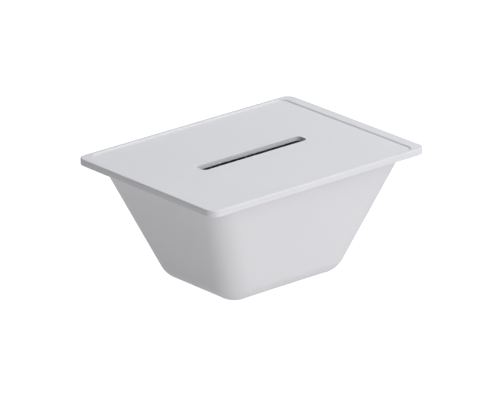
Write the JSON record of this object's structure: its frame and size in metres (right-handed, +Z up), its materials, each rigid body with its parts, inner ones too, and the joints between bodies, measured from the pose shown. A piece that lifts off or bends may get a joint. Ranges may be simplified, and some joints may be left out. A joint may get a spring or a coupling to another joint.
{
  "type": "resin wash station",
  "caption": "Tapered white wash tub with a flanged mouth, a recessed drip lid with a long central slot, and a lift-out perforated basket with folding bails inside.",
  "frame": {"origin": "centre of the plane that the feet stand on, below the centre of the lid", "axes": "+X along the length and the lid's slot, -Y towards the front, +Z up"},
  "size_m": [0.34, 0.25, 0.16],
  "materials": {
    "tub_plastic": "fine satin moulded polypropylene, off-white",
    "lid_plastic": "fine satin moulded polypropylene, cool off-white",
    "seal_silicone": "grey silicone",
    "foot_rubber": "black rubber",
    "steel": "perforated stainless sheet, fine brushed",
    "steel_wire": "drawn stainless wire",
    "steel_pin": "turned stainless rivet",
    "grip_rubber": "dark grey moulded grip"
  },
  "bodies": {
    "tub": {"tub": "tub_plastic", "foot_front_left": "foot_rubber", "foot_front_right": "foot_rubber", "foot_rear_left": "foot_rubber", "foot_rear_right": "foot_rubber"},
    "lid": {"lid": "lid_plastic", "lid_seal": "seal_silicone"},
    "basket": {"basket": "steel", "basket_rim": "steel_wire", "bail_bracket_left": "steel", "bail_bracket_right": "steel", "basket_bumper_front_left": "seal_silicone", "basket_bumper_front_right": "seal_silicone", "basket_bumper_rear_left": "seal_silicone", "basket_bumper_rear_right": "seal_silicone", "pivot_pin_front_left": "steel_pin", "pivot_pin_front_right": "steel_pin", "pivot_pin_rear_left": "steel_pin", "pivot_pin_rear_right": "steel_pin"},
    "front_bail": {"bail_front": "steel_wire", "bail_grip_front": "grip_rubber"},
    "rear_bail": {"bail_rear": "steel_wire", "bail_grip_rear": "grip_rubber"}
  },
  "joints": [
    {"name": "lid_lift", "type": "slide", "parent": "tub", "child": "lid", "axis": [0, 0, 1], "range_m": [0, 0.36]},
    {"name": "basket_lift", "type": "slide", "parent": "tub", "child": "basket", "axis": [0, 0, 1], "range_m": [0, 0.18]},
    {"name": "front_bail_fold", "type": "hinge", "parent": "basket", "child": "front_bail", "pos_m": [0, -0.01, 0.138], "axis": [-1, 0, 0], "range_deg": [0, 90]},
    {"name": "rear_bail_fold", "type": "hinge", "parent": "basket", "child": "rear_bail", "pos_m": [0, 0.01, 0.138], "axis": [1, 0, 0], "range_deg": [0, 90]}
  ],
  "couplings": [
    {"joint": "basket_lift", "follows": "lid_lift", "ratio": 0.5},
    {"joint": "front_bail_fold", "follows": "lid_lift", "rad_per_m": 4.363},
    {"joint": "rear_bail_fold", "follows": "lid_lift", "rad_per_m": 4.363}
  ]
}
